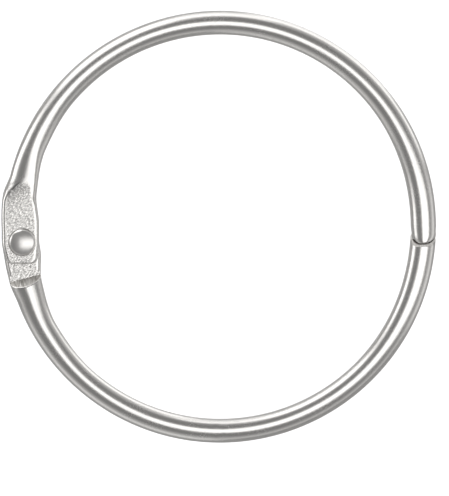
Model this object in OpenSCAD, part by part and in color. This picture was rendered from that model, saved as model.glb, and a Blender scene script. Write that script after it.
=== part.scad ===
// Binder ring: two half rings of round steel wire, joined by a rivet on the left and a snap lap on
// the right. It lies flat: the ring's axis is +Z, and the origin is its centre, half way through
// the wire. Each half is the same forming, and the lower one is turned over.

/* [Ring] */
// Clear inside diameter of the closed ring
inside_d = 50.8; // [38:0.1:64]
// Diameter of the round wire
wire_d = 3.2; // [2.8:0.1:3.6]
// Width of the wire near its ends, where the dies gripped it
gripped_w = 3.4; // [3.3:0.05:3.6]
// Length over which a gripped end takes its width
gripped_l = 21; // [16:1:24]

/* [Hinge] */
// How far the rivet lies below the ring's horizontal diameter
hinge_drop = 2.05; // [0:0.05:4]
// Width of a flattened hinge leaf
leaf_w = 4.95; // [4.6:0.05:5.4]
// How far a leaf's end tapers in on the ring's outer side
end_outer_taper = 0.5; // [0:0.05:0.6]
// The same on the inner side
end_inner_taper = 0.2; // [0:0.05:0.6]
// Length of a leaf, from its end to the foot of its shoulder
leaf_l = 8.8; // [8.2:0.1:9.8]
// Distance from the upper leaf's end to the rivet
upper_end = 2.85; // [2.6:0.05:3.2]
// Distance from the lower leaf's end to the rivet
lower_end = 3.95; // [3.6:0.05:4.2]
// Corner radius at a leaf's end
leaf_corner = 0.85; // [0.4:0.05:1]
// Distance from the rivet, towards the shoulder, from which a leaf runs straight to its end
straight_from = 2; // [0:0.1:3]
// Bulge of a leaf's round side past its flat face
side_bulge = 0.55; // [0.4:0.05:0.8]
// Space between the two leaves
leaf_gap = 0.02; // [0.01:0.01:0.05]
// How far a leaf stands out past the ring's outer edge at the rivet
stand_out = 0.32; // [0:0.02:0.5]
// The same at the foot of the upper half's shoulder
upper_foot_out = 0.5; // [0.2:0.02:0.6]
// The same at the foot of the lower half's shoulder
lower_foot_out = 0.34; // [0.2:0.02:0.6]
// How far the rivet lies inside the middle of the leaves
rivet_in = 0.15; // [0:0.05:0.3]

/* [Shoulder] */
// Length of the steep slope from a leaf up to the full wire
shoulder_l = 1.07; // [0.7:0.01:1.5]
// Width of the wire where the slope ends
neck_w = 3.95; // [3.7:0.05:4.2]
// Length over which the neck narrows to the gripped wire
neck_l = 5; // [4:0.5:7]
// Length of the pointed arch in which the outer flat runs out, past the shoulder's foot
arch_l = 2.35; // [1.6:0.05:3]
// How far before the shoulder's foot the arch begins
arch_in = 0.85; // [0.5:0.05:1.5]

/* [Rivet] */
// Diameter of the shank
shank_d = 2; // [1.6:0.1:2.4]
// Radial running clearance of the shank in the upper leaf
running_gap = 0.04; // [0.02:0.01:0.08]
// Space under the front head
head_gap = 0.02; // [0.01:0.01:0.05]
// Diameter of the domed front head
head_d = 3.42; // [3:0.02:3.8]
// Height of the front head
head_h = 0.8; // [0.6:0.05:1]
// Diameter of the upset tail head
tail_d = 3.3; // [2.9:0.05:3.6]
// Height of the tail head
tail_h = 0.5; // [0.3:0.05:0.7]
// Height of the upright rim under the front head's dome
head_rim_h = 0.46; // [0.1:0.02:0.54]
// Height of the upright rim under the tail head's dome
tail_rim_h = 0.22; // [0.1:0.02:0.26]
// Depth of the hammered flat on the left of the front head
left_flat = 0.11; // [0.05:0.01:0.2]
// Depth of the hammered flat on the top of the front head
top_flat = 0.19; // [0.05:0.01:0.3]

/* [Snap] */
// How far the middle of the lap lies below the ring's horizontal diameter
lock_drop = 1.5; // [0:0.05:4]
// Length of the lap, from shoulder to shoulder
lap_l = 2; // [1.7:0.1:3]
// Space between a tongue's tip and the other half's shoulder
tip_gap = 0.2; // [0.1:0.05:0.4]
// Height of each tongue's hook above the middle of the wire
hook_h = 0.3; // [0.2:0.02:0.4]
// Space between the two hooked tongues
snap_gap = 0.06; // [0.04:0.01:0.1]
// Length over which the sides of the upper tongue round in to its tip
upper_tip_round = 1.5; // [1:0.1:1.8]
// The same for the lower tongue, which stays wide and shows beside the upper one
lower_tip_round = 0.4; // [0.3:0.05:1]
// How far the upper tongue's inner side draws in before that
upper_tip_in = 0.25; // [0:0.05:0.3]
// The same for the lower tongue
lower_tip_in = 0; // [0:0.05:0.3]
// Length over which a tongue's round back drops to its tip
tip_edge = 0.5; // [0.3:0.05:0.8]
// Angle of the shoulders and hooks off square
lap_skew = 8; // [0:1:12]

/* [Hidden] */
$fn = 96;

wire_r = wire_d / 2;
mid_r = inside_d / 2 + wire_r;
outer_r = mid_r + wire_r;
deg_per_mm = 180 / (PI * mid_r);

// The rivet goes through both leaves
rivet_r = outer_r + stand_out - leaf_w / 2 - rivet_in;
hinge_angle = asin(hinge_drop / rivet_r);
lock_angle = asin(lock_drop / mid_r);
leaf_mid = (wire_r + leaf_gap / 2) / 2;
bore_h = 4 * wire_d;

// Lengths, on each side of the shoulder's foot, over which the section changes
spread_l = 3.5;
foot_in = 0.7;
foot_out = 0.5;
out_fade = 2.8;

// A formed end reaches this far into the plain wire, and lies this far inside its surface there
overlap = 0.4;
seam = 0.004;

// A round section's side arcs end this many degrees short of the crown
crown_gap = 6;
crown_z = (wire_r - seam) * cos(crown_gap);
arc_steps = 8;

// How far the rough leaf reaches past its inner face, and the reach of a cut past the wire
under = 0.05;
big = 3 * wire_d;

// Power of the blunt rounding at a tongue's sides. All its roundings stop at a share of their
// length, just before the point.
tip_power = 2.6;
tip_stop = 0.985;

// Power of the arch's curve: 0.5 is an ellipse, and more is more pointed
arch_power = 0.75;

// Directions of the hammered flats on the front head
left_flat_angle = 162;
top_flat_angle = 108;

function mix(a, b, t) = a + (b - a) * t;
function clamp(x) = max(0, min(1, x));
function smooth(x, a, b) = let (t = clamp((x - a) / (b - a))) t * t * (3 - 2 * t);

// The points of a wire section, seen along the wire: x is outwards from the ring's centre, y is up.
// Each side is an arc of an ellipse above its widest level and another below it. An arc has its
// centre beside the section's middle, its height, and the angle at which it meets the flat.
function section(half_w, mid_z, top_centre, top_h, top_end, low_centre, low_h, low_end) =
    let (
        right = concat(
            [for (k = [arc_steps:-1:0])
                let (a = top_end * k / arc_steps)
                [top_centre + (half_w - top_centre) * cos(a), mid_z + top_h * sin(a)]],
            [for (k = [1:arc_steps])
                let (a = low_end * k / arc_steps)
                [low_centre + (half_w - low_centre) * cos(a), mid_z - low_h * sin(a)]]
        ),
        last = len(right) - 1
    )
    concat(right, [for (k = [last:-1:0]) [-right[k].x, right[k].y]]);

// A section's points put on the ring, at an angle and with its middle at a radius, and then moved
// on anticlockwise in a straight line
function on_ring(points, radius, angle, past) =
    [
        for (p = points)
            [
                (radius + p.x) * cos(angle) - past * sin(angle),
                (radius + p.x) * sin(angle) + past * cos(angle),
                p.y
            ]
    ];

// A closed solid through rings that have as many points each and follow one another clockwise
module loft(rings) {
    n = len(rings[0]);
    last = len(rings) - 1;
    sides = [
        for (i = [0:last - 1])
            for (j = [0:n - 1])
                let (
                    a = i * n + j,
                    b = i * n + (j + 1) % n
                )
                each [[a, b, b + n], [a, b + n, a + n]]
    ];
    start_cap = [for (j = [n - 1:-1:0]) j];
    end_cap = [for (j = [0:n - 1]) last * n + j];
    polyhedron([for (ring = rings) each ring], concat(sides, [start_cap, end_cap]));
}

// How far the hinge end reaches in past the plain wire's inner edge. s is the distance from the
// rivet along the wire, and foot is where the shoulder's foot lies.
function inner_reach(s, foot) =
    (gripped_w - wire_d) * (1 - smooth(s, foot + shoulder_l + neck_l, gripped_l))
    + (neck_w - gripped_w) * (1 - smooth(s, foot, foot + shoulder_l + neck_l))
    + (leaf_w - stand_out - neck_w) * (1 - smooth(s, foot - spread_l, foot + shoulder_l));

// How far it stands out past the ring's outer edge
function outer_reach(s, foot, out) =
    mix(stand_out, out, smooth(s, 0, foot)) * (1 - smooth(s, foot, foot + out_fade));

// What a round corner takes off each side at the leaf's end
function corner(s, end) =
    let (x = clamp((leaf_corner - end - s) / leaf_corner))
    leaf_corner * (1 - sqrt(1 - x * x));

// One ring of the hinge end, before the shoulder is cut. The outer flat runs out in a pointed arch.
function hinge_ring(s, angle, end, foot, out) =
    let (
        near_end = smooth(-s, 0, end),
        inner = inner_reach(s, foot) - end_inner_taper * near_end - corner(s, end),
        outer = outer_reach(s, foot, out) - end_outer_taper * near_end - corner(s, end),
        half_w = (wire_d + inner + outer) / 2,
        face = half_w - side_bulge,
        arch = 1 - pow(clamp((s - foot + arch_in) / (arch_in + arch_l)), 2),
        join = smooth(s, foot + arch_l, gripped_l),
        body = smooth(s, foot - foot_in, foot + foot_out),
        mid_z = mix(leaf_mid, 0, body),
        top_z = mix(wire_r, crown_z, join),
        top_centre = face * arch * arch,
        top_edge = mix(half_w * sin(crown_gap), face, pow(arch, arch_power)),
        top_end = acos((top_edge - top_centre) / (half_w - top_centre)),
        low_h = mix(leaf_mid + under, wire_r - seam, body),
        bent = max(s, straight_from)
    )
    on_ring(
        section(
            half_w - seam * join, mid_z,
            top_centre, (top_z - mid_z) / sin(top_end), top_end,
            face * (1 - body), low_h, 90 - crown_gap
        ),
        mid_r + (outer - inner) / 2,
        angle - bent * deg_per_mm,
        bent - s
    );

// Distances from the rivet at which the hinge end has a ring
function hinge_stations(end, foot) = concat(
    [for (k = [0:5]) -end + leaf_corner * (1 - cos(90 * k / 5))],
    [for (k = [1:4]) mix(leaf_corner - end, foot - spread_l, k / 4)],
    [for (k = [1:5]) mix(foot - spread_l, foot - foot_in, k / 5)],
    [for (k = [1:6]) mix(foot - foot_in, foot + foot_out, k / 6)],
    [for (k = [1:8]) foot + mix(arch_l, foot_out, pow(1 - k / 8, 2))],
    [for (k = [1:10]) mix(foot + arch_l, gripped_l, k / 10)],
    [gripped_l + overlap]
);

module hinge_end(angle, end, out) {
    foot = leaf_l - end;
    loft([for (s = hinge_stations(end, foot)) hinge_ring(s, angle, end, foot, out)]);
}

// What is pressed away behind the leaf, down to the steep slope of the shoulder
module shoulder_cut(angle, foot) {
    face_z = leaf_gap / 2;
    slope_l = 2 * shoulder_l;
    slope_h = 2 * (wire_r + face_z);
    outline = [
        [-leaf_l - big, face_z],
        [0, face_z],
        [slope_l, face_z - slope_h],
        [-leaf_l - big, face_z - slope_h]
    ];
    rotate([0, 0, angle - foot * deg_per_mm])
        translate([mid_r, 0, 0])
            rotate([90, 0, -90])
                linear_extrude(height = 2 * big, center = true)
                    polygon(outline);
}

// One ring of the snap end, s being the distance from the middle of the lap
function snap_ring(s, angle, draw_in, round_l) =
    let (
        tip = tip_gap - lap_l / 2,
        w = mix(gripped_w, wire_d, smooth(s, lap_l, gripped_l))
            - draw_in * (1 - smooth(s, tip, lap_l)),
        in_round = min(tip_stop, clamp((tip + round_l - s) / round_l)),
        in_edge = min(tip_stop, clamp((tip + tip_edge - s) / tip_edge)),
        half_w = (w / 2 - seam) * pow(1 - pow(in_round, tip_power), 1 / tip_power),
        h = (wire_r - seam) * sqrt(1 - in_edge * in_edge),
        end = 90 - crown_gap
    )
    on_ring(
        section(half_w, 0, 0, h, end, 0, h, end),
        outer_r - w / 2,
        angle + s * deg_per_mm,
        0
    );

module snap_end(angle, draw_in, round_l) {
    tip = tip_gap - lap_l / 2;
    straight = [for (k = [0:11]) mix(gripped_l, lap_l, k / 12)];
    narrowing = [for (k = [0:5]) mix(lap_l, tip + tip_edge, k / 6)];
    rounded = [for (k = [0:8]) tip + tip_edge * (1 - sin(90 * k / 8))];
    loft([
        for (s = concat(gripped_l + overlap, straight, narrowing, rounded))
            snap_ring(s, angle, draw_in, round_l)
    ]);
}

// What is cut away under a tongue and its hook, through the whole width of the wire
module snap_cut(angle, skew) {
    half_gap = snap_gap / 2;
    outline = [
        [lap_l / 2, -big],
        [lap_l / 2, hook_h + half_gap],
        [-half_gap, hook_h + half_gap],
        [-half_gap, half_gap - hook_h],
        [-big, half_gap - hook_h],
        [-big, -big]
    ];
    rotate([0, 0, angle])
        translate([mid_r, 0, 0])
            rotate([0, 0, skew])
                rotate([90, 0, 90])
                    linear_extrude(height = 2 * big, center = true)
                        polygon(outline);
}

// The plain round wire between the two formed ends
module wire_arc(from, to) {
    rotate([0, 0, from])
        rotate_extrude(angle = to - from)
            translate([mid_r, 0])
                circle(r = wire_r);
}

// A half ring, with its leaf and its tongue on the front of the wire
module half_ring(hinge_at, lock_at, end, out, bore_d, skew, draw_in, round_l) {
    difference() {
        union() {
            wire_arc(lock_at + gripped_l * deg_per_mm, hinge_at - gripped_l * deg_per_mm);
            hinge_end(hinge_at, end, out);
            snap_end(lock_at, draw_in, round_l);
        }
        snap_cut(lock_at, skew);
        shoulder_cut(hinge_at, leaf_l - end);
        rotate([0, 0, hinge_at])
            translate([rivet_r, 0, 0])
                cylinder(h = bore_h, d = bore_d, center = true);
    }
}

module upper_half() {
    color("silver")
        half_ring(
            180 + hinge_angle, -lock_angle, upper_end, upper_foot_out,
            shank_d + 2 * running_gap, lap_skew, upper_tip_in, upper_tip_round
        );
}

module lower_half() {
    color("lightgray")
        rotate([180, 0, 0])
            half_ring(
                180 - hinge_angle, lock_angle, lower_end, lower_foot_out,
                shank_d, -lap_skew, lower_tip_in, lower_tip_round
            );
}

// A rivet head that stands on z = 0: an upright rim under a dome
module rivet_head(d, h, rim_h) {
    dome_h = h - rim_h;
    dome_r = (dome_h * dome_h + d * d / 4) / (2 * dome_h);
    intersection() {
        translate([0, 0, h - dome_r])
            sphere(r = dome_r);
        cylinder(h = h, d = d);
    }
}

// Half space outside a hammered flat, in a direction round the head
module hammered(angle, depth) {
    rotate([0, 0, angle])
        translate([head_d / 2 - depth, -head_d, -head_h])
            cube([head_d, 2 * head_d, 3 * head_h]);
}

module hinge_rivet() {
    front_z = wire_r + head_gap;
    color("gainsboro")
        rotate([0, 0, 180 + hinge_angle])
            translate([rivet_r, 0, 0])
                rotate([0, 0, -180 - hinge_angle])
                    union() {
                        translate([0, 0, -wire_r])
                            cylinder(h = front_z + wire_r, d = shank_d);
                        translate([0, 0, front_z])
                            difference() {
                                rivet_head(head_d, head_h, head_rim_h);
                                hammered(left_flat_angle, left_flat);
                                hammered(top_flat_angle, top_flat);
                            }
                        translate([0, 0, -wire_r])
                            rotate([180, 0, 0])
                                rivet_head(tail_d, tail_h, tail_rim_h);
                    }
}

upper_half();
lower_half();
hinge_rivet();
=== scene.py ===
import math

import bmesh
import bpy
import numpy as np
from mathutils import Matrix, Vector


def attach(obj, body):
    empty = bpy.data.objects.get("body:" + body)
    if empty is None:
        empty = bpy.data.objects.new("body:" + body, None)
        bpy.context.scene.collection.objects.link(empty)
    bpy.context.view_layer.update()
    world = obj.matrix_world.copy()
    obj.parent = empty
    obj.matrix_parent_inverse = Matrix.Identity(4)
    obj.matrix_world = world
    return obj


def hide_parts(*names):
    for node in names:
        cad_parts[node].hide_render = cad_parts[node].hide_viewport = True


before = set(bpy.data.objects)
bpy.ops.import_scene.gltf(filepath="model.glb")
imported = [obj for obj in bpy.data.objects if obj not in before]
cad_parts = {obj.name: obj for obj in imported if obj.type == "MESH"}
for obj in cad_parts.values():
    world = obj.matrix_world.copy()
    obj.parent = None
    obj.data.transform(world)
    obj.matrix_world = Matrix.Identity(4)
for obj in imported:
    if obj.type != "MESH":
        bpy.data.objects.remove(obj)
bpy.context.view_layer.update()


# ---------------------------------------------------------------------------------------------
# Upper half. A length of round steel wire with one end pressed between dies into a flat leaf and
# the other end pressed into a hooked tongue. It is bent into half a ring after that, and plated
# with nickel. Its leaf and its tongue lie in front of the lower half's.
# ---------------------------------------------------------------------------------------------

# Sizes are in millimetres and angles in degrees. MM turns a size into Blender's metres, and places
# nearer than NEAR count as the same.
MM = 0.001
NEAR = 1e-3

# The wire, and the ring that it makes. COLUMNS is how many points go round the wire.
INSIDE_D = 50.8
WIRE_R = 1.6
MID_R = INSIDE_D / 2 + WIRE_R
DEG_PER_MM = 180 / (math.pi * MID_R)
COLUMNS = 160

# The gripped ends are a little wider than the plain wire, and the neck is wider again
GRIPPED_L = 21
GRIPPED_W = 3.4
NECK_W = 4.0
NECK_L = 6.5

# The leaf, from its end to the foot of its shoulder. FACE_Z is half the play between the two leaves.
LEAF_L = 8.8
LEAF_W = 4.95
LEAF_CORNER = 0.85
FACE_Z = 0.01
LEAF_MID = (WIRE_R + FACE_Z) / 2
SIDE_BULGE = 0.55
SIDE_FULLNESS = 0.86
STAND_OUT = 0.28
STRAIGHT_FROM = 2
END_OUTER_TAPER = 0.5
END_INNER_TAPER = 0.2
END_ROUND = 0.21
RIM_ROUND = 0.14

# The steep shoulder behind the leaf. Two rings of points, FOOT_NICK apart, make the corner at its foot.
SHOULDER_L = 1.07
SHOULDER_SLOPE = SHOULDER_L / (WIRE_R + FACE_Z)
FOOT_NICK = 0.02

# In front the leaf's flat runs out in a pointed arch
ARCH_IN = 0.85
ARCH_L = 2.35
ARCH_FULLNESS = 0.62
ARCH_DIP = 0.14
CROWN_SHIFT = 0.5

# Where the forming changes, each from one place to another, measured past the foot of the shoulder
LEAF_NARROWS = (-3.5, SHOULDER_L)
NECK_NARROWS = (0, SHOULDER_L + NECK_L)
THICKENS = (-0.7, 0.5)
STANDS_OUT = (0, 2.8)
BACK_ROUNDS = (0, 3.5)
BACK_SPREADS = (-1.5, -0.1)
SWELLS = (-0.3, 1.8)
SWELL_ENDS = (2.5, 9)
ARCH_CLOSES = (-ARCH_IN, ARCH_L + 0.8)
FRONT_ROUNDS = (ARCH_L + 0.8, ARCH_L + 7)
FILLS_OUT = (-0.5, 1.3)
FILL_ENDS = (2, 8)
GRAIN_FADES = (1.5, ARCH_L)

# The columns of points up to this angle make the round side of the leaf, and the rest its flat
SIDE_ARC = 49.5

# The hinge, below the ring's middle by HINGE_DROP, and the rivet in it
RIVET_INSET = 2.305
RIVET_R = MID_R + WIRE_R - RIVET_INSET
HINGE_DROP = 2.05
HINGE_ANGLE = math.degrees(math.asin(HINGE_DROP / RIVET_R))
RIVET_X = -RIVET_R * math.cos(math.radians(HINGE_ANGLE))
RIVET_Y = -HINGE_DROP
SHANK_D = 2.0
SHANK_PLAY = 0.08
HEAD_D = 3.42

# The snap, below the ring's middle by LOCK_DROP, and the hooked tongue in it, whose places are
# measured from the middle of the lap. LAP_TORN is how dull the lap's faces are.
LOCK_DROP = 1.5
LOCK_ANGLE = math.degrees(math.asin(LOCK_DROP / MID_R))
LAP_HALF = 1.18
LAP_SKEW = 8
LAP_TORN = 0.72
SKEW_ENDS = (1.5, 7)
WALL_ENDS = (LAP_HALF, 5)
TIP_GAP = 0.29
TIP = TIP_GAP - LAP_HALF
TIP_EDGE = 0.3
TIP_STOP = 0.985
TIP_FULLNESS = 2.6
HOOK_H = 0.3
HOOK_GAP = 0.03

# The grain of the flats is of long pebbles that lie at a slant. The finest are in the plate only.
PEBBLE = (0.36, 0.1, 0.2)
PEBBLE_TURN = 36
PEBBLE_H = 0.03
FINE_PEBBLE = (0.34, 0.085, 0.2)
FINE_TURN = 35
GRAIN_EDGE = 0.12
GRAIN_BEGINS = (0.12, 0.25)


def ease(x, start, stop):
    t = np.clip((x - start) / (stop - start), 0, 1)
    return t * t * (3 - 2 * t)


def mix(a, b, t):
    return a + (b - a) * t


def open_piece(piece):
    """The piece alone is selected and open in edit mode, with nothing in it selected."""
    bpy.ops.object.select_all(action="DESELECT")
    piece.select_set(True)
    bpy.context.view_layer.objects.active = piece
    bpy.ops.object.mode_set(mode="EDIT")
    bpy.ops.mesh.select_mode(type="VERT")
    bpy.ops.mesh.select_all(action="DESELECT")


def close_piece():
    bpy.ops.object.mode_set(mode="OBJECT")


def pick_edges(piece, test):
    """Selects the edges whose two ends pass a test together."""
    bpy.ops.mesh.select_mode(type="EDGE")
    bpy.ops.mesh.select_all(action="DESELECT")
    net = bmesh.from_edit_mesh(piece.data)
    for edge in net.edges:
        first, second = (end.co / MM for end in edge.verts)
        if test(first, second):
            edge.select_set(True)
    bmesh.update_edit_mesh(piece.data)


def pick_faces(piece, test):
    """Selects the faces whose every corner passes a test."""
    net = bmesh.from_edit_mesh(piece.data)
    for face in net.faces:
        if all(test(corner) for corner in face.verts):
            face.select_set(True)
    bmesh.update_edit_mesh(piece.data)


def use_modifier(piece, kind, **settings):
    """Adds a modifier, sets it and applies it."""
    modifier = piece.modifiers.new(kind.lower(), kind)
    for key, value in settings.items():
        setattr(modifier, key, value)
    bpy.ops.object.select_all(action="DESELECT")
    piece.select_set(True)
    bpy.context.view_layer.objects.active = piece
    bpy.ops.object.modifier_apply(modifier=modifier.name)


def points_of(piece):
    """The piece's points in millimetres, one row each."""
    points = np.empty(len(piece.data.vertices) * 3)
    piece.data.vertices.foreach_get("co", points)
    return points.reshape(-1, 3) / MM


def move_points(piece, points):
    piece.data.vertices.foreach_set("co", (points * MM).ravel())
    piece.data.update()


def mark_points(piece, name, values):
    """Keeps a value of each point, for the material and for later steps."""
    field = piece.data.attributes.new(name, "FLOAT", "POINT")
    field.data.foreach_set("value", np.array(values, float))


def cut_wire(name, stretches):
    """A straight piece of wire along X. stretches lists where each stretch of it ends, and how many
    rings divide that stretch."""
    begin, stop = stretches[0][0], stretches[-1][0]
    bpy.ops.object.select_all(action="DESELECT")
    bpy.ops.mesh.primitive_cylinder_add(
        vertices=COLUMNS, radius=WIRE_R * MM, depth=(stop - begin) * MM,
        location=((stop + begin) / 2 * MM, 0, 0), rotation=(0, math.pi / 2, 0),
    )
    wire = bpy.context.object
    wire.name = name
    bpy.ops.object.transform_apply(location=True, rotation=True, scale=True)
    open_piece(wire)
    for place, _ in stretches[1:-1]:
        bpy.ops.mesh.select_all(action="SELECT")
        bpy.ops.mesh.bisect(plane_co=(place * MM, 0, 0), plane_no=(1, 0, 0), threshold=1e-7)
    for (low, _), (high, count) in zip(stretches, stretches[1:]):

        def runs_along(p, q):
            within = min(p.x, q.x) > low - NEAR and max(p.x, q.x) < high + NEAR
            return within and abs(p.x - q.x) > NEAR

        if count > 1:
            pick_edges(wire, runs_along)
            bpy.ops.mesh.subdivide(number_cuts=count - 1)
    close_piece()
    return wire


def leaf_section(s, beta, side, front, foot, end, foot_out):
    """Where the dies put the points of the wire near the leaf. s is the distance from the rivet,
    beta the angle up from the widest level on the round wire, side +1 on the ring's outer side, and
    front +1 on the front. foot and end are how far the shoulder's foot and the leaf's end lie from
    the rivet. Gives the distance outwards, the height, and how far a point is on a flat."""
    past = s - foot
    near_end = ease(-s, 0, end)
    nip = np.clip((LEAF_CORNER - end - s) / LEAF_CORNER, 0, 1)
    corner = LEAF_CORNER * (1 - np.sqrt(1 - nip * nip))
    inner = (GRIPPED_W - 2 * WIRE_R) * (1 - ease(s, foot + SHOULDER_L + NECK_L, GRIPPED_L))
    inner += (NECK_W - GRIPPED_W) * (1 - ease(past, *NECK_NARROWS))
    inner += (LEAF_W - STAND_OUT - NECK_W) * (1 - ease(past, *LEAF_NARROWS))
    outer = mix(STAND_OUT, foot_out, ease(s, 0, foot)) * (1 - ease(past, *STANDS_OUT))
    inner -= END_INNER_TAPER * near_end + corner
    outer -= END_OUTER_TAPER * near_end + corner
    half_w = WIRE_R + (inner + outer) / 2
    face = half_w - SIDE_BULGE
    body = ease(past, *THICKENS)
    mid_z = mix(LEAF_MID, 0, body)
    arc = np.clip(beta / SIDE_ARC, 0, 1)
    flat = np.clip((90 - beta) / (90 - SIDE_ARC), 0, 1)

    # Front: the flat runs out in a pointed arch, whose crown lies towards the ring's inner side and
    # which dips on the outer side. Its edge rolls over into the side.
    swell = ease(past, *SWELLS) * (1 - ease(past, *SWELL_ENDS))
    crown_at = CROWN_SHIFT * swell
    reach = half_w + side * crown_at
    arch = 1 - ease(past, *ARCH_CLOSES)
    edge = (reach - SIDE_BULGE) * arch
    fuller = mix(SIDE_FULLNESS, ARCH_FULLNESS, ease(past, *FILLS_OUT))
    fuller = np.where(side > 0, mix(fuller, 1, 0.6 * swell), fuller)
    fuller = mix(fuller, 1, ease(past, *FILL_ENDS))
    turn = np.radians(90) * arc
    y_front = edge + (reach - edge) * np.clip(np.cos(turn), 0, 1) ** fuller
    z_front = mid_z + (WIRE_R - mid_z) * np.sin(turn) ** fuller
    # Past the arch the columns spread evenly over the round wire again
    crown = mix(0, 90 - SIDE_ARC, ease(past, *FRONT_ROUNDS))
    angle = np.radians(np.where(arc < 1, (90 - crown) * arc, 90 - crown * flat))
    y_round = reach * np.clip(np.cos(angle), 0, 1) ** fuller
    z_round = WIRE_R * np.sin(angle) ** fuller
    y_front = np.where(arch > 0, np.where(arc < 1, y_front, edge * flat), y_round)
    z_front = np.where(arch > 0, np.where(arc < 1, z_front, WIRE_R), z_round)
    rise = np.clip((z_front - mid_z) / (WIRE_R - mid_z), 0, 1)
    across = y_front / reach
    z_front -= ARCH_DIP * swell * (side > 0) * across ** 2 * (1 - across ** 4) * rise
    drop = np.clip(1 - (s + end) / END_ROUND, 0, 1)
    z_front -= END_ROUND * (1 - np.sqrt(1 - drop ** 2)) * rise
    # The grain ends on the arch's outline, and grows faint towards it
    grained = 1 - np.clip((past + ARCH_IN) / (ARCH_IN + ARCH_L), 0, 1) ** 2
    in_front = np.clip(((reach - SIDE_BULGE) * grained ** 0.42 - y_front) / GRAIN_EDGE, 0, 1)
    in_front *= 1 - 0.9 * ease(past, *GRAIN_FADES)

    # Back: flat up to the shoulder's foot, and round from there
    centre = face * (1 - body)
    depth = mix(LEAF_MID - FACE_Z, WIRE_R, body)
    meet = np.arcsin(np.clip((mid_z - FACE_Z) / depth, 0, 1))
    last = mix(meet, math.radians(SIDE_ARC), ease(past, *BACK_ROUNDS))
    y_back = centre + (half_w - centre) * np.cos(last * arc)
    z_back = mid_z - depth * np.sin(last * arc)
    edge = centre + (half_w - centre) * np.cos(last)
    spread = mix(flat, np.sin(np.radians(90 * flat)), ease(past, *BACK_SPREADS))
    y_under = edge * spread
    over = np.clip((y_under - centre) / (half_w - centre), 0, 1)
    z_under = np.where(past < -NEAR, FACE_Z, mid_z - depth * np.sqrt(1 - over ** 2))
    y_back = np.where(arc < 1, y_back, y_under)
    z_back = np.where(arc < 1, z_back, z_under)

    y = np.where(front > 0, side * y_front - crown_at, side * y_back) + (outer - inner) / 2
    z = np.where(front > 0, z_front, z_back)
    behind = (past < 0) * (arc >= 1) * np.clip((1 - flat) / 0.1, 0, 1)
    on_flat = np.where(front > 0, in_front, behind) * ease(s + end, *GRAIN_BEGINS)
    return y, z, on_flat


def tongue_section(t, beta, side, front, draw_in, tip_round):
    """The same for the tongue. t is the distance from the middle of the lap."""
    width = mix(GRIPPED_W, 2 * WIRE_R, ease(t, 2, GRIPPED_L))
    width -= draw_in * (1 - ease(t, TIP, 2 * LAP_HALF))
    narrow = np.clip((TIP + tip_round - t) / tip_round, 0, TIP_STOP)
    blunt = np.clip((TIP + TIP_EDGE - t) / TIP_EDGE, 0, TIP_STOP)
    half_w = width / 2 * (1 - narrow ** TIP_FULLNESS) ** (1 / TIP_FULLNESS)
    half_h = WIRE_R * (1 - blunt ** 2) ** 0.5
    angle = np.radians(beta)
    y = np.cos(angle) * half_w
    z = front * np.sin(angle) * half_h
    step = np.where(t < -HOOK_GAP, HOOK_GAP - HOOK_H, HOOK_H + HOOK_GAP)
    step = np.where(t < LAP_HALF, step, -2 * WIRE_R)
    widest = half_w * np.sqrt(np.clip(1 - (step / half_h) ** 2, 0, 1))
    cut = z < step
    y = np.where(cut & (step > 0), np.minimum(y, widest), y)
    z = np.where(cut, step, z)
    return side * y - (width / 2 - WIRE_R), z


def press_wire(wire, length, end, foot_out, skew, draw_in, tip_round, wall_curve):
    """Presses both ends of the straight wire, with the sizes that make_half explains. The points
    keep their order in each ring."""
    foot = LEAF_L - end
    x, y, z = points_of(wire).T
    s = length - x
    side = np.where(y < 0, 1.0, -1.0)
    front = np.where(z > -1e-4, 1.0, -1.0)
    beta = np.degrees(np.arcsin(np.clip(np.abs(z) / WIRE_R, 0, 1)))

    # Behind the leaf the rings lean, so that one of them lies in the steep face of the shoulder
    lean = SHOULDER_SLOPE * (1 - ease(s - foot, *BACK_ROUNDS)) * (s - foot > -NEAR)
    moved = s
    for _ in range(3):
        out, up, on_flat = leaf_section(moved, beta, side, front, foot, end, foot_out)
        moved = s + lean * np.clip(FACE_Z - up, 0, None)
    t_out, t_up = tongue_section(x, beta, side, front, draw_in, tip_round)
    at_leaf = s < length / 2
    new_y = -np.where(at_leaf, out, t_out)
    new_z = np.where(at_leaf, up, t_up)
    # The lap is skewed, and its shoulder follows the round tip of the other half's tongue
    slant = math.tan(math.radians(skew)) * (1 - ease(x, *SKEW_ENDS))
    wall = np.minimum(wall_curve * new_y ** 6, 0.9 * LAP_HALF)
    wall *= np.clip(x / LAP_HALF, 0, 1) * (1 - ease(x, *WALL_ENDS))
    new_x = np.where(at_leaf, length - moved, x - slant * new_y - wall)
    move_points(wire, np.stack([new_x, new_y, new_z], axis=1))
    mark_points(wire, "pressed", np.where(at_leaf, on_flat, 0.0))


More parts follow.
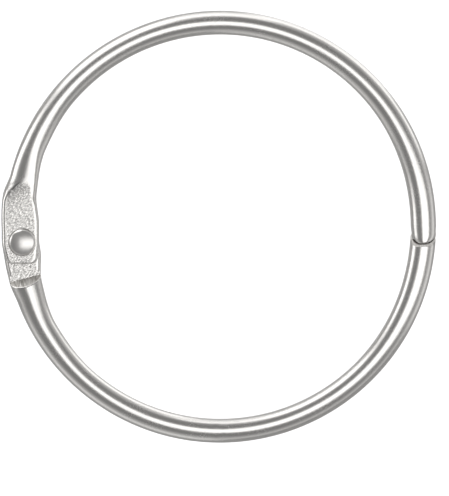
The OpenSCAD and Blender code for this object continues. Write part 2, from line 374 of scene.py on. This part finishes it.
def tear_faces(wire, foot_x):
    """Rounds the rim of the steep shoulder, whose foot is at foot_x, and tears its face in streaks
    that run down it. The lap's faces and the tongue's tip are sheared, and less dull."""

    def off_slope(point):
        return abs(foot_x - SHOULDER_SLOPE * (FACE_Z - point.z) - point.x)

    def on_rim(p, q):
        return max(p.z, q.z) < -0.3 and max(off_slope(p), off_slope(q)) < NEAR

    def on_foot(point):
        return abs(foot_x + FOOT_NICK - point.x) < NEAR and abs(point.z - FACE_Z) < NEAR

    def down_slope(p, q):
        return on_foot(p) != on_foot(q) and max(off_slope(p), off_slope(q)) < FOOT_NICK + NEAR

    def dullness(point):
        if off_slope(point) < FOOT_NICK + NEAR and point.z < 2 * FACE_Z:
            return 1
        off_lap = min(abs(point.z - HOOK_GAP - HOOK_H), abs(point.z - HOOK_GAP + HOOK_H))
        on_lap = point.x < 2 * LAP_HALF and off_lap < NEAR
        return LAP_TORN if on_lap or point.x < TIP + 0.2 else 0

    open_piece(wire)
    bpy.ops.mesh.select_all(action="SELECT")
    bpy.ops.mesh.remove_doubles(threshold=1e-6)
    pick_edges(wire, on_rim)
    bpy.ops.mesh.bevel(offset=RIM_ROUND * MM, segments=4, affect="EDGES", clamp_overlap=False)
    close_piece()
    known = len(wire.data.vertices)
    open_piece(wire)
    pick_edges(wire, down_slope)
    bpy.ops.mesh.subdivide(number_cuts=7)
    close_piece()
    mark_points(wire, "torn", [dullness(point.co / MM) for point in wire.data.vertices])
    for point in wire.data.vertices[known:]:
        across = point.co.y / MM
        streak = 0.045 * math.sin(19 * across) * math.sin(5 * across + 1) + 0.03 * math.sin(9 * across)
        point.co.x += streak * MM


def bend_wire(wire, length, end, lock_at):
    """Bends the wire round the ring's axis, with the leaf left straight from just above the rivet."""
    bent_to = length - STRAIGHT_FROM
    whole = length + end - TIP
    use_modifier(
        wire, "SIMPLE_DEFORM", deform_method="BEND", deform_axis="Z",
        angle=math.radians((bent_to - TIP) * DEG_PER_MM), limits=(0, (bent_to - TIP) / whole),
    )
    wire.location = (0, -MID_R * MM, 0)
    bpy.ops.object.transform_apply(location=True, rotation=False, scale=False)
    wire.rotation_euler = (0, 0, math.radians(90 + lock_at))
    bpy.ops.object.transform_apply(location=False, rotation=True, scale=False)


def make_half(name, hinge_at, lock_at, end, foot_out, skew, draw_in, tip_round, wall_curve):
    """One half of the ring, from the angle lock_at of its snap to hinge_at of its rivet. Its leaf
    reaches end past the rivet and stands out by foot_out at its foot. Its lap is skewed by skew,
    and its tongue is narrower by draw_in and rounds to its tip over tip_round. wall_curve is how
    much the lap's shoulder curves."""
    length = (hinge_at - lock_at) / DEG_PER_MM
    foot_x = length - LEAF_L + end
    leaf_end = length + end
    wire = cut_wire(name, [
        (TIP, 0), (TIP + 0.6, 10), (-HOOK_GAP - 0.02, 5), (-HOOK_GAP + 0.02, 1), (LAP_HALF - 0.01, 10),
        (LAP_HALF + 0.01, 1), (2.5, 8), (GRIPPED_L, 24), (length - GRIPPED_L, 50), (foot_x - 8, 24),
        (foot_x - BACK_ROUNDS[1], 30), (foot_x, 35), (foot_x + FOOT_NICK, 1),
        (leaf_end - LEAF_CORNER, round((LEAF_L - LEAF_CORNER) * 11)), (leaf_end - END_ROUND, 9),
        (leaf_end, 6),
    ])
    press_wire(wire, length, end, foot_out, skew, draw_in, tip_round, wall_curve)
    tear_faces(wire, foot_x)
    bend_wire(wire, length, end, lock_at)
    return wire


def bore(piece, diameter):
    """Punches a round hole through the leaf where the rivet goes."""
    bpy.ops.object.select_all(action="DESELECT")
    bpy.ops.mesh.primitive_cylinder_add(
        vertices=64, radius=diameter / 2 * MM, depth=6 * MM,
        location=(RIVET_X * MM, RIVET_Y * MM, 0),
    )
    punch = bpy.context.object
    use_modifier(piece, "BOOLEAN", operation="DIFFERENCE", object=punch, solver="EXACT")
    bpy.data.objects.remove(punch)


def grain_flats(piece, seat, seed):
    """The worn dies leave a pebbled grain on the flats. Round the rivet the grain is rubbed away,
    and the head has sunk a little into the leaf by seat. seed shifts the grain."""
    open_piece(piece)
    bpy.ops.mesh.select_mode(type="FACE")
    net = bmesh.from_edit_mesh(piece.data)
    layer = net.verts.layers.float["pressed"]
    pick_faces(piece, lambda corner: corner[layer] > 0)
    bpy.ops.mesh.subdivide(number_cuts=1)
    close_piece()

    points = points_of(piece)
    pressed = np.empty(len(points))
    field = piece.data.attributes["pressed"].data
    field.foreach_get("value", pressed)
    off_head = np.hypot(points[:, 0] - RIVET_X, points[:, 1] - RIVET_Y) - HEAD_D / 2
    on_face = np.abs(points[:, 2]) > WIRE_R - 0.1
    points[:, 2] -= np.sign(points[:, 2]) * seat * on_face * (1 - ease(off_head, -0.01, 0.17))
    move_points(piece, points)
    pressed *= ease(off_head, 0.03, 0.19)
    field.foreach_set("value", pressed)

    group = piece.vertex_groups.new(name="grain")
    for index in np.nonzero(pressed > 0)[0]:
        group.add([int(index)], float(pressed[index]), "REPLACE")
    bpy.ops.object.empty_add(location=(seed * 7 * MM, 0, 0), rotation=(0, 0, math.radians(PEBBLE_TURN)))
    grid = bpy.context.object
    grid.scale = Vector(PEBBLE) * MM
    bpy.context.view_layer.update()
    pebbles = bpy.data.textures.new("pebbles", "CLOUDS")
    pebbles.noise_scale = 1.0
    pebbles.noise_depth = 0
    use_modifier(
        piece, "DISPLACE", texture=pebbles, texture_coords="OBJECT", texture_coords_object=grid,
        vertex_group="grain", strength=PEBBLE_H * MM, mid_level=0.6,
    )
    bpy.data.objects.remove(grid)


def finish_mesh(piece, sharp_from=32):
    """Turns the normals outwards, and shades smooth but for edges sharper than sharp_from."""
    open_piece(piece)
    bpy.ops.mesh.select_all(action="SELECT")
    bpy.ops.mesh.normals_make_consistent(inside=False)
    close_piece()
    bpy.ops.object.shade_smooth_by_angle(angle=math.radians(sharp_from))


class Value:
    """One output of a node, so that sums with it read as ordinary expressions."""

    def __init__(self, finish, socket):
        self.finish = finish
        self.socket = socket

    def work_out(self, operation, *others):
        return self.finish.node("Math", {"operation": operation}, self, *others)

    def __add__(self, other):
        return self.work_out("ADD", other)

    def __sub__(self, other):
        return self.work_out("SUBTRACT", other)

    def __rsub__(self, other):
        return self.finish.node("Math", {"operation": "SUBTRACT"}, other, self)

    def __mul__(self, other):
        return self.work_out("MULTIPLY", other)

    def step(self, low, high):
        """0 below low, 1 above high, and a smooth rise between."""
        settings = {"interpolation_type": "SMOOTHSTEP"}
        return self.finish.node("MapRange", settings, self, low, high, 0, 1)

    __radd__ = __add__
    __rmul__ = __mul__


class Finish:
    """The nodes of a material, or of the world. One method makes any node, and the results go to
    the shader's inputs."""

    def __init__(self, owner, shader="Principled BSDF"):
        owner.use_nodes = True
        self.owner = owner
        self.tree = owner.node_tree
        self.shader = self.tree.nodes[shader]

    def node(self, kind, settings, *values, out=0):
        """Makes a node with these settings, feeds values to its inputs in their order, and gives
        the output with the number out."""
        node = self.tree.nodes.new("ShaderNode" + kind)
        for key, value in settings.items():
            setattr(node, key, value)
        open_inputs = [socket for socket in node.inputs if socket.enabled]
        for socket, value in zip(open_inputs, values):
            self.feed(socket, value)
        return Value(self, [socket for socket in node.outputs if socket.enabled][out])

    def feed(self, socket, value):
        if isinstance(value, Value):
            self.tree.links.new(value.socket, socket)
        elif value is not None:
            socket.default_value = value

    def set(self, **values):
        """Feeds the shader's inputs, by their names."""
        for name, value in values.items():
            self.feed(self.shader.inputs[name.replace("_", " ").title()], value)

    def place(self):
        """Where a point lies on the object, in millimetres."""
        spot = self.node("TexCoord", {}, out=3)
        return self.node("VectorMath", {"operation": "SCALE"}, spot, 1 / MM)

    def along(self, vector, axis):
        return self.node("SeparateXYZ", {}, vector, out=axis)

    def mark(self, name):
        """A value that the points of the mesh keep."""
        return self.node("Attribute", {"attribute_name": name}, out=2)

    def noise(self, place, scale, detail=2, roughness=0.5):
        return self.node("TexNoise", {}, place, scale, detail, roughness)

    def tint(self, amount, low, high):
        """A colour that goes from low to high as amount goes from 0 to 1."""
        ends = (end if isinstance(end, Value) else (*end, 1) for end in (low, high))
        return self.node("Mix", {"data_type": "RGBA"}, amount, *ends)


def nickel(name, satin):
    """Nickel plate over steel, satin where it is round, with satin as its roughness. The flats have
    painted shade in the pits between the pebbles of their grain, over more of the flat towards the
    arch. Torn faces have thin plate, dull and streaked down the slope."""
    finish = Finish(bpy.data.materials.new(name))
    place = finish.place()
    pressed = finish.mark("pressed")
    torn = finish.mark("torn").step(0.5, 0.95)
    # Painted shade on the flats: the pits between the pebbles are painted dark, and towards the arch the
    # dark covers more of the flat and is a little deeper
    shade_toward_arch = (finish.along(place, 1) - finish.along(place, 0)).step(28, 33.5)
    cloud = finish.noise(place, 0.35, 3)
    fine = finish.noise(place, 9, 3)
    turn = (0, 0, math.radians(FINE_TURN))
    turned = finish.node("Mapping", {"vector_type": "TEXTURE"}, place, None, turn, FINE_PEBBLE)
    pebbles = finish.noise(turned, 1, 0.5)
    streaks = finish.noise(finish.node("Mapping", {}, place, None, (0, 0, 0), (6, 0.6, 0.6)), 1, 3)
    pit_shade = pressed * (0.86 + 0.14 * shade_toward_arch) * (1 - (pebbles - 0.12 * shade_toward_arch).step(0.42, 0.6))
    bright = finish.tint(cloud, (0.71, 0.695, 0.675), (0.77, 0.755, 0.735))
    shaded_grain_colour = finish.tint(pit_shade, bright, (0.28, 0.275, 0.265))
    dull = finish.tint(streaks.step(0.35, 0.65), (0.52, 0.50, 0.47), (0.95, 0.93, 0.90))
    height = 0.015 * fine * (1 - pressed) + 0.8 * pebbles * pressed + 0.5 * streaks * torn
    finish.set(
        base_color=finish.tint(torn, shaded_grain_colour, dull), metallic=1 - 0.2 * torn,
        roughness=satin + 0.05 * cloud + 0.04 * fine + 0.3 * torn,
        normal=finish.node("Bump", {}, 0.5, 0.02 * MM, None, height),
    )
    return finish.owner


upper = make_half(
    "upper_wire", 180 + HINGE_ANGLE, -LOCK_ANGLE, end=2.85, foot_out=0.46, skew=LAP_SKEW,
    draw_in=0.25, tip_round=1.5, wall_curve=0,
)
grain_flats(upper, seat=0.04, seed=1)
bore(upper, SHANK_D + SHANK_PLAY)
finish_mesh(upper)
upper.data.materials.append(nickel("nickel_upper", 0.22))
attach(upper, "upper")
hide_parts("upper_half")


# ---------------------------------------------------------------------------------------------
# Lower half. The same pressed wire, turned over so that its leaf and its tongue lie behind. Its
# leaf reaches further past the rivet, and the rivet's shank is tight in it.
# ---------------------------------------------------------------------------------------------

lower = make_half(
    "lower_wire", 180 - HINGE_ANGLE, LOCK_ANGLE, end=3.95, foot_out=0.24, skew=-LAP_SKEW,
    draw_in=0, tip_round=0.4, wall_curve=0.06,
)
lower.rotation_euler = (math.pi, 0, 0)
bpy.ops.object.transform_apply(location=False, rotation=True, scale=False)
grain_flats(lower, seat=0.02, seed=2)
bore(lower, SHANK_D)
finish_mesh(lower)
lower.data.materials.append(nickel("nickel_lower", 0.22))
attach(lower, "lower")
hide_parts("lower_half")


# ---------------------------------------------------------------------------------------------
# Hinge rivet. A steel pin through both leaves, with a domed head in front that hammering has left
# with two flat sides, and a lower head upset on the back.
# ---------------------------------------------------------------------------------------------

HEAD_ROUND = 0.2
HEAD_H = 0.8
HEAD_Z = WIRE_R + 0.02
HEAD_CROWN_R = 4.5
TAIL_D = 3.3
TAIL_H = 0.5
TAIL_CROWN_R = 5
ROUND_STEPS = 8
DOME_STEPS = 20

# The two hammered sides: where each lies round the head, and how far in from the head's edge. They
# lean outwards by HAMMER_LEAN.
HAMMERED = ((162, 0.25), (108, 0.28))
HAMMER_LEAN = 42


def head(diameter, height, crown_r):
    """Radius and height of points from the foot of a head to its crown: an upright rim, a little
    rounding and a low dome."""
    brow = diameter / 2 - HEAD_ROUND
    lean = math.asin(brow / crown_r)
    round_r = HEAD_ROUND / (1 - math.sin(lean))
    shift = height - crown_r + (crown_r - round_r) * math.cos(lean)
    points = [(diameter / 2, 0)]
    for step in range(ROUND_STEPS + 1):
        angle = mix(math.pi / 2, lean, step / ROUND_STEPS)
        out = brow - round_r * (math.sin(lean) - math.sin(angle))
        points.append((out, shift + round_r * math.cos(angle)))
    for step in range(1, DOME_STEPS):
        angle = lean * (1 - step / DOME_STEPS)
        points.append((crown_r * math.sin(angle), height - crown_r + crown_r * math.cos(angle)))
    return points + [(0, height)]


outline = [(0, -WIRE_R - TAIL_H)]
outline += [(r, -WIRE_R - z) for r, z in reversed(head(TAIL_D, TAIL_H, TAIL_CROWN_R)[:-1])]
outline += [(SHANK_D / 2, -WIRE_R), (SHANK_D / 2, HEAD_Z)]
outline += [(r, HEAD_Z + z) for r, z in head(HEAD_D, HEAD_H, HEAD_CROWN_R)]

# One point is drawn out along the outline, and the outline is spun round the rivet's axis
bpy.ops.object.select_all(action="DESELECT")
bpy.ops.mesh.primitive_plane_add(size=MM)
rivet = bpy.context.object
rivet.name = "rivet"
open_piece(rivet)
bpy.ops.mesh.select_all(action="SELECT")
bpy.ops.mesh.merge(type="CENTER")
net = bmesh.from_edit_mesh(rivet.data)
net.verts.ensure_lookup_table()
net.verts[0].co = (outline[0][0] * MM, 0, outline[0][1] * MM)
bmesh.update_edit_mesh(rivet.data)
for (r, z), (next_r, next_z) in zip(outline, outline[1:]):
    bpy.ops.mesh.extrude_vertices_move(
        TRANSFORM_OT_translate={"value": ((next_r - r) * MM, 0, (next_z - z) * MM)}
    )
bpy.ops.mesh.select_all(action="SELECT")
bpy.ops.mesh.spin(steps=96, angle=2 * math.pi, center=(0, 0, 0), axis=(0, 0, 1))
bpy.ops.mesh.select_all(action="SELECT")
bpy.ops.mesh.remove_doubles(threshold=1e-7)
for angle, depth in HAMMERED:
    way = Vector((math.cos(math.radians(angle)), math.sin(math.radians(angle)), 0))
    reach = HEAD_D / 2 - depth
    high = HEAD_Z + HEAD_H - HEAD_CROWN_R + math.sqrt(HEAD_CROWN_R ** 2 - reach ** 2)
    lean = math.radians(HAMMER_LEAN)
    slant = Vector((0, 0, math.cos(lean))) + way * math.sin(lean)
    bpy.ops.mesh.select_all(action="DESELECT")
    pick_faces(rivet, lambda corner: corner.co.z > (HEAD_Z - NEAR) * MM)
    bpy.ops.mesh.bisect(
        plane_co=(way * reach + Vector((0, 0, high))) * MM, plane_no=slant, clear_outer=True, threshold=1e-7,
    )
    bpy.ops.mesh.select_all(action="DESELECT")
    bpy.ops.mesh.select_non_manifold()
    bpy.ops.mesh.edge_face_add()
close_piece()
rivet.location = (RIVET_X * MM, RIVET_Y * MM, 0)
bpy.ops.object.transform_apply(location=True, rotation=False, scale=False)
finish_mesh(rivet, sharp_from=25)
rivet.data.materials.append(nickel("nickel_rivet", 0.28))
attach(rivet, "lower")
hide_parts("hinge_rivet")


# ---------------------------------------------------------------------------------------------
# The setting: a pale matt floor well under the ring, soft light from above and all round, and a
# camera straight above the ring.
# ---------------------------------------------------------------------------------------------

FLOOR_SIZE = 4000
FLOOR_Z = -100
FLOOR_GLOW = 0.77

bpy.ops.object.select_all(action="DESELECT")
bpy.ops.mesh.primitive_plane_add(size=FLOOR_SIZE * MM, location=(0, 0, FLOOR_Z * MM))
floor = bpy.context.object
floor.name = "floor"

# The camera sees the floor white, and reflections see a white sheet on it under the ring
SHEET_EDGE = (24, 27)
paper = Finish(bpy.data.materials.new("paper"))
spot = paper.place()
off_x, off_y = (paper.along(spot, axis).work_out("ABSOLUTE") for axis in (0, 1))
sheet = (1 - off_x.step(*SHEET_EDGE)) * (1 - off_y.step(*SHEET_EDGE))
to_camera, glossy, through = (paper.node("LightPath", {}, out=index) for index in (0, 3, 6))
seen = to_camera.work_out("MAXIMUM", glossy.work_out("MAXIMUM", through) * sheet)
paper.set(
    base_color=paper.tint(paper.noise(spot, 0.05, 2), (0.56, 0.56, 0.56), (0.60, 0.60, 0.60)),
    roughness=0.9, emission_color=paper.tint(seen, (0, 0, 0), (1, 1, 1)), emission_strength=FLOOR_GLOW,
)
floor.data.materials.append(paper.owner)


def softbox(name, centre, facing, size, radiance):
    """A rectangular lamp at centre that faces the point facing, all in metres."""
    light = bpy.data.lights.new(name, "AREA")
    light.shape = "RECTANGLE"
    light.size, light.size_y = size
    light.energy = radiance * math.pi * size[0] * size[1]
    lamp = bpy.data.objects.new(name, light)
    bpy.context.scene.collection.objects.link(lamp)
    lamp.location = centre
    lamp.rotation_euler = (Vector(facing) - Vector(centre)).to_track_quat("-Z", "Y").to_euler()
    lamp.visible_camera = False


def side_light(name, azimuth, height, distance, size, radiance):
    """A lamp that faces the ring from the side. azimuth is from +X, and height is the angle above
    the ring's level."""
    turn, lift = math.radians(azimuth), math.radians(height)
    flat = distance * math.cos(lift)
    centre = (flat * math.cos(turn), flat * math.sin(turn), distance * math.sin(lift))
    softbox(name, centre, (0, 0, 0), size, radiance)


softbox("front_light", (0.50, -0.09, 1.0), (0.50, -0.09, 0), (1.32, 0.60), 1.6)
side_light("right_light", 48, -12, 0.22, (0.24, 0.09), 1.15)
side_light("back_light", 90, 0, 0.25, (0.13, 0.20), 0.95)
side_light("left_light", 122, 11, 0.25, (0.16, 0.23), 1.4)
side_light("end_light", 168, 13, 0.25, (0.18, 0.145), 1.4)
side_light("low_left_light", 237, -9, 0.30, (0.38, 0.10), 0.58)
side_light("low_right_light", 352, -9, 0.30, (0.22, 0.10), 0.6)
side_light("near_light", 60, -34, 0.13, (0.09, 0.05), 0.85)

# The room is lighter at the ring's level than straight above
world = bpy.data.worlds.new("studio")
sky = Finish(world, "Background")
level = sky.along(sky.node("TexCoord", {}, out=0), 2)
sky.set(color=sky.tint(level.step(0, 0.66), (0.66, 0.66, 0.66), (0.22, 0.22, 0.22)), strength=1)
bpy.context.scene.world = world

lens = bpy.data.cameras.new("camera")
lens.sensor_fit = "VERTICAL"
lens.sensor_height = 24
lens.lens = 584.4
lens.clip_start = 0.01
lens.shift_x = 0.0087
lens.shift_y = -0.043
camera = bpy.data.objects.new("camera", lens)
bpy.context.scene.collection.objects.link(camera)
camera.location = (0, 0, 1.6)
bpy.context.scene.camera = camera
bpy.context.scene.view_settings.view_transform = "Standard"
